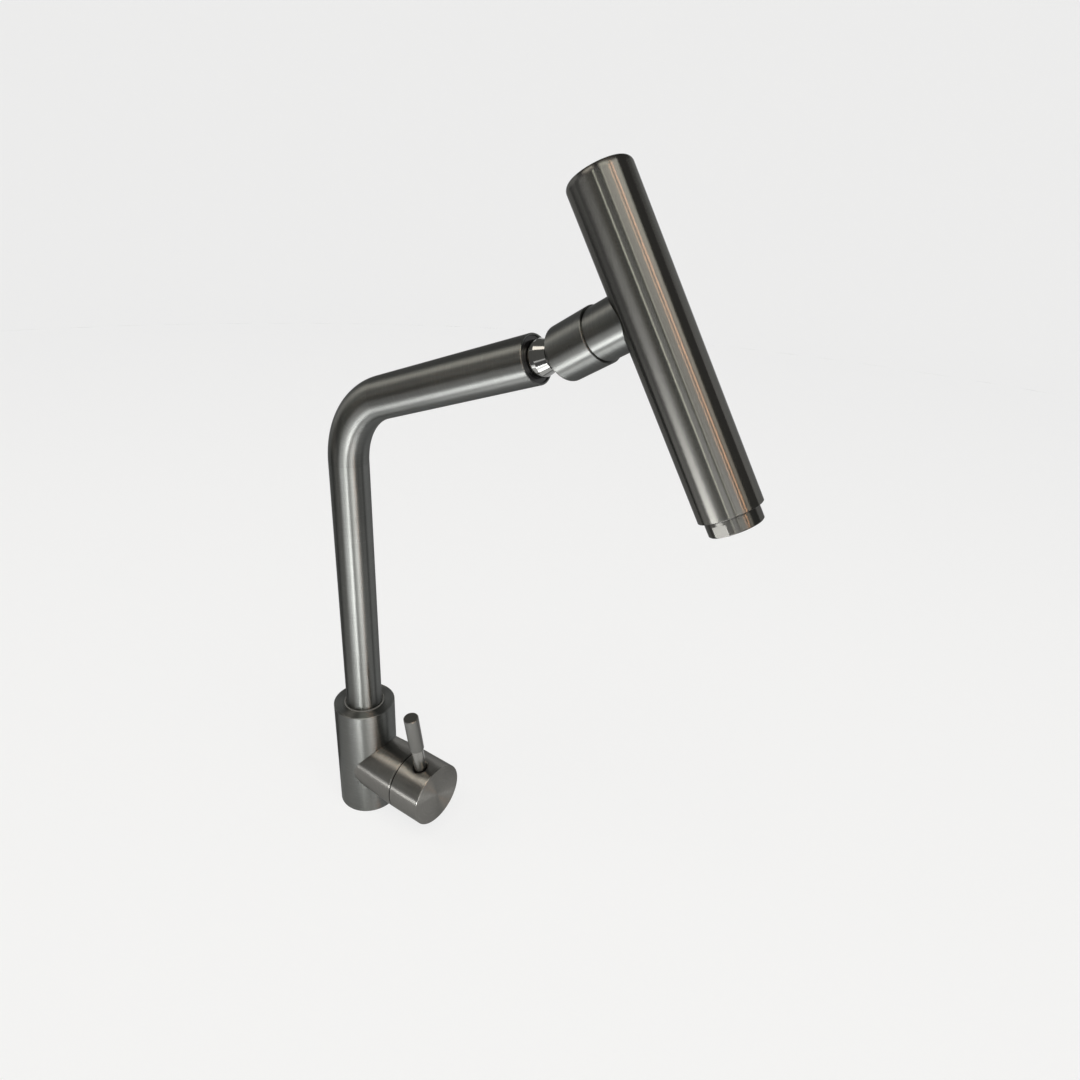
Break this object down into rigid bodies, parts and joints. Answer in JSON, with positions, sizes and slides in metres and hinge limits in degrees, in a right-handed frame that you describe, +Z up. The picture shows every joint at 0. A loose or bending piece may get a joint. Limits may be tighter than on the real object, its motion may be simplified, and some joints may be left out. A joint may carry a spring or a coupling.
{
  "type": "kitchen mixer tap",
  "caption": "Single lever deck mixer tap in brushed steel: upright body with side valve, swivelling bent spout and a long cylindrical head on a ball joint.",
  "frame": {"origin": "centre of the body's seat on the deck, on the body's axis", "axes": "+Z up along the body and the upright spout, +X along the valve housing, pointing away from the body to the handle; at rest the spout's arm also points along +X"},
  "size_m": [0.2967, 0.052, 0.5205],
  "materials": {
    "brushed_body": "satin, brushed up and down",
    "brushed_valve": "satin, brushed round the barrel",
    "brushed_spout": "satin, brushed along the tube",
    "brushed_handle": "satin, brushed along the barrel",
    "brushed_collar": "satin, turned",
    "polished_head": "semi polished, long streaks",
    "nozzle_steel": "turned",
    "satin_grip": "fine satin",
    "polished_steel": "polished",
    "polished_chrome": "mirror polish",
    "screw_steel": "plain",
    "brass_fixing": "turned",
    "grey_ring": "satin",
    "grey_plastic": "satin",
    "black_plastic": "satin",
    "black_rubber": "matt",
    "white_plastic": "natural acetal",
    "ceramic": "lapped ceramic"
  },
  "bodies": {
    "mixer_body": {"body_shell": "brushed_body", "valve_housing": "brushed_valve", "base_seal": "black_rubber", "threaded_shank": "brass_fixing", "cartridge_base": "white_plastic", "port_seals": "black_rubber", "fixed_disc": "ceramic", "cartridge_case": "white_plastic", "dome_nut": "polished_steel", "spout_set_screw": "screw_steel", "thrust_washer": "white_plastic", "slip_ring": "grey_ring"},
    "deck_clamp": {"rubber_clamp_washer": "black_rubber", "steel_clamp_washer": "screw_steel", "lock_nut": "brass_fixing"},
    "cartridge_rotor": {"rotor": "white_plastic", "pivot_pin": "screw_steel"},
    "mixing_disc": {"moving_disc": "ceramic", "disc_carrier": "white_plastic"},
    "handle": {"spindle": "brass_fixing", "handle_cap": "brushed_handle", "lever_stem": "polished_steel", "lever_grip": "satin_grip", "handle_grub_screw": "screw_steel"},
    "spout": {"spout_ferrule": "brass_fixing", "spout_o_rings": "black_rubber", "spout_tube": "brushed_spout", "end_bushing": "black_plastic"},
    "stem": {"ball_stem": "polished_chrome", "stem_o_ring": "black_rubber", "stem_clip": "screw_steel"},
    "collar": {"swivel_collar": "brushed_collar", "ball_seat": "white_plastic", "spring_washer": "screw_steel", "collar_clip": "screw_steel"},
    "head": {"swivel_sleeve": "brass_fixing", "sleeve_o_ring": "black_rubber", "head_body": "polished_head", "head_stub": "brushed_collar", "head_core": "white_plastic", "water_tube": "white_plastic", "outlet_plate": "white_plastic", "aerator_housing": "nozzle_steel", "aerator_insert": "grey_plastic", "aerator_screens": "screw_steel", "flow_regulator": "black_plastic", "aerator_seal": "black_rubber"}
  },
  "joints": [
    {"name": "deck_clamp_slide", "type": "slide", "parent": "mixer_body", "child": "deck_clamp", "axis": [0, 0, 1], "range_m": [-0.016, 0.029]},
    {"name": "temperature", "type": "hinge", "parent": "mixer_body", "child": "cartridge_rotor", "pos_m": [0.026, 0, 0.039], "axis": [1, 0, 0], "range_deg": [-59.2, 40.8]},
    {"name": "flow", "type": "hinge", "parent": "cartridge_rotor", "child": "handle", "pos_m": [0.026, 0, 0.039], "axis": [0, 0.9871, 0.1599], "range_deg": [0, 18]},
    {"name": "disc_slide", "type": "slide", "parent": "cartridge_rotor", "child": "mixing_disc", "axis": [0, -0.1599, 0.9871], "range_m": [-0.0005, 0.0025]},
    {"name": "spout_swivel", "type": "hinge", "parent": "mixer_body", "child": "spout", "pos_m": [0, 0, 0.067], "axis": [0, 0, 1], "continuous": true},
    {"name": "stem_roll", "type": "hinge", "parent": "spout", "child": "stem", "pos_m": [0.1446, -0.00101, 0.37009], "axis": [0.942, -0.0066, 0.3355], "continuous": true},
    {"name": "head_tilt", "type": "hinge", "parent": "stem", "child": "collar", "pos_m": [0.1641, -0.00115, 0.37704], "axis": [0.1977, -0.7969, -0.5709], "range_deg": [-33.4, 6.1]},
    {"name": "head_spin", "type": "hinge", "parent": "collar", "child": "head", "pos_m": [0.18216, -0.00424, 0.38761], "axis": [0.8536, -0.1464, 0.5], "continuous": true}
  ],
  "couplings": [
    {"joint": "disc_slide", "follows": "flow", "m_per_rad": 0.0057}
  ]
}
